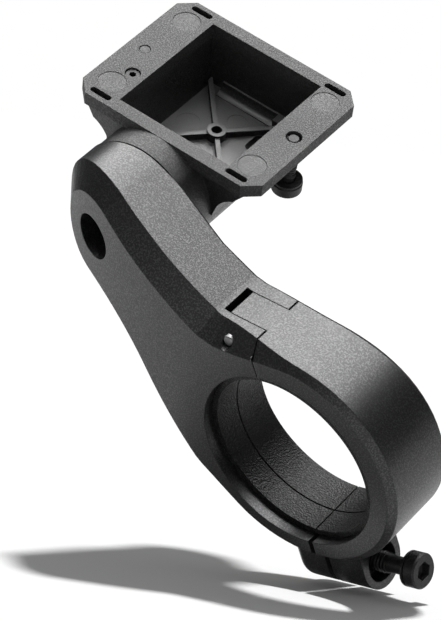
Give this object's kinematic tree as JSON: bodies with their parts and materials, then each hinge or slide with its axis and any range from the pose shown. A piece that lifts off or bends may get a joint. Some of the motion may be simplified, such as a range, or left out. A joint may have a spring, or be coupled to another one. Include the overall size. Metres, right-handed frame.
{
  "type": "bike display mount",
  "caption": "One-sided handlebar mount: hinged clamp ring, bent arm and a tilting open cradle for a display unit.",
  "frame": {"origin": "centre of the handlebar bore at the clamp's mid-width", "axes": "+Y along the handlebar, from the arm's bevelled side towards the cradle; +Z square out of the cradle's rim; the arm reaches out towards -X"},
  "size_m": [0.0923, 0.0534, 0.0587],
  "materials": {
    "arm_coat": "satin black with a fine speckled grain",
    "cradle_plastic": "fine spark-eroded black plastic",
    "liner_plastic": "textured black plastic",
    "black_steel": "black oxide",
    "bright_steel": "ground steel",
    "insert_brass": "turned brass",
    "friction_plastic": "plain"
  },
  "bodies": {
    "arm": {"arm": "arm_coat", "arm_liner": "liner_plastic", "hinge_pin": "bright_steel", "lug_insert": "insert_brass", "pivot_washer": "black_steel", "friction_ring": "friction_plastic"},
    "strap": {"strap": "arm_coat", "strap_liner": "liner_plastic"},
    "clamp_washer": {"clamp_washer": "black_steel"},
    "clamp_bolt": {"clamp_bolt": "black_steel"},
    "pivot_bolt": {"pivot_bolt": "black_steel"},
    "cradle": {"cradle": "cradle_plastic", "pivot_insert": "insert_brass", "rim_pin": "bright_steel", "rim_screw": "black_steel"},
    "lock_washer": {"lock_washer": "black_steel"},
    "lock_screw": {"lock_screw": "black_steel"}
  },
  "joints": [
    {"name": "strap_hinge", "type": "hinge", "parent": "arm", "child": "strap", "pos_m": [-0.01525, 0, 0.0174], "axis": [0, -1, 0], "range_deg": [0, 95]},
    {"name": "clamp_travel", "type": "slide", "parent": "strap", "child": "clamp_washer", "axis": [-0.8965, 0, -0.4431], "range_m": [0, 0.0094]},
    {"name": "clamp_turn", "type": "hinge", "parent": "clamp_washer", "child": "clamp_bolt", "pos_m": [0.01108, 0, -0.02241], "axis": [-0.8965, 0, -0.4431], "range_deg": [0, 4835.5]},
    {"name": "pivot_turn", "type": "hinge", "parent": "arm", "child": "pivot_bolt", "pos_m": [-0.0467, 0, 0.0175], "axis": [0, -1, 0], "range_deg": [0, 180]},
    {"name": "cradle_tilt", "type": "hinge", "parent": "arm", "child": "cradle", "pos_m": [-0.0467, 0.0298, 0.0175], "axis": [0, 1, 0], "range_deg": [-45, 45]},
    {"name": "lock_travel", "type": "slide", "parent": "cradle", "child": "lock_washer", "axis": [0, 0, 1], "range_m": [0, 0.00715]},
    {"name": "lock_turn", "type": "hinge", "parent": "lock_washer", "child": "lock_screw", "pos_m": [-0.0298, 0.0298, 0.02], "axis": [0, 0, 1], "range_deg": [0, 5149.5]}
  ],
  "couplings": [
    {"joint": "clamp_turn", "follows": "clamp_travel", "rad_per_m": 8976},
    {"joint": "lock_turn", "follows": "lock_travel", "rad_per_m": 12566}
  ]
}
